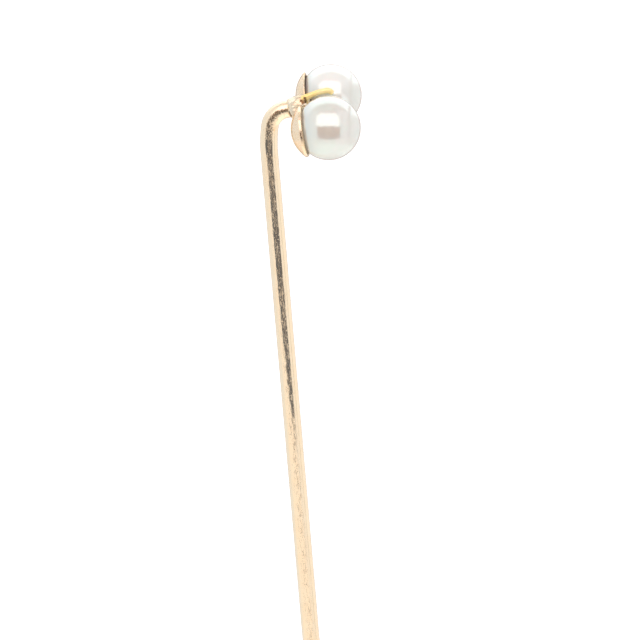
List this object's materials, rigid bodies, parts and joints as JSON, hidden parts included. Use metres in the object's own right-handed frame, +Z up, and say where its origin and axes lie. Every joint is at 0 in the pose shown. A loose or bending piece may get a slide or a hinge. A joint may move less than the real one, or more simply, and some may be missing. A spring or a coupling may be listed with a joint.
{
  "type": "hat pin",
  "caption": "Stick pin for a hat or lapel: a gold wire stem with a bent neck carries pearls side by side in dished cups under one claw.",
  "frame": {"origin": "on the stem's axis at the top of its straight shank, where the neck starts to bend", "axes": "+Z up the stem, so the point is down; -Y is forward, the way the pearls face; +X is to the right as seen from the front"},
  "size_m": [0.0079, 0.0065, 0.0639],
  "materials": {
    "stem_gold": "polished, with fine lengthwise scratches",
    "solder_gold": "worn and mottled",
    "claw_gold": "polished, richer yellow",
    "cup_gold": "polished, softly worn",
    "cement": "dull, dark with age",
    "pearl": "nacre, glossy"
  },
  "bodies": {
    "root": {"pin_stem": "stem_gold", "bridge": "solder_gold", "claw": "claw_gold", "left_cup": "cup_gold", "right_cup": "cup_gold", "left_post": "cup_gold", "right_post": "cup_gold", "left_cement": "cement", "right_cement": "cement", "left_pearl": "pearl", "right_pearl": "pearl"}
  },
  "joints": []
}
